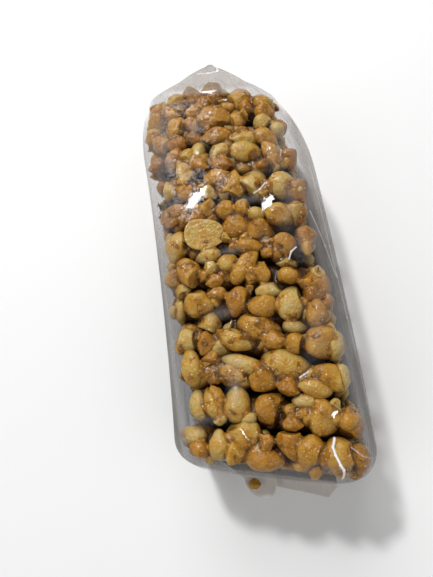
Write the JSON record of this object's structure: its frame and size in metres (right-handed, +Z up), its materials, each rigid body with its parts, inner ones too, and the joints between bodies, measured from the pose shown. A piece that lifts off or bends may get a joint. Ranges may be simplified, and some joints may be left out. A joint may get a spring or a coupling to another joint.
{
  "type": "packed peanut brittle",
  "caption": "Clear film pack holding a row of peanut brittle slabs that stand on edge, with a folded far end.",
  "frame": {"origin": "on the underside, below the middle of the pack's box", "axes": "+Y along the row of slabs towards the folded far end, +X across the pack, +Z up"},
  "size_m": [0.0618, 0.1646, 0.0426],
  "materials": {
    "film": "clear thin film over golden brown nut brittle",
    "kernels": "roasted blanched peanut kernels under a thin coat of caramel",
    "caramel": "glossy orange-brown boiled sugar"
  },
  "bodies": {
    "root": {"film_pack": "film"}
  },
  "joints": []
}
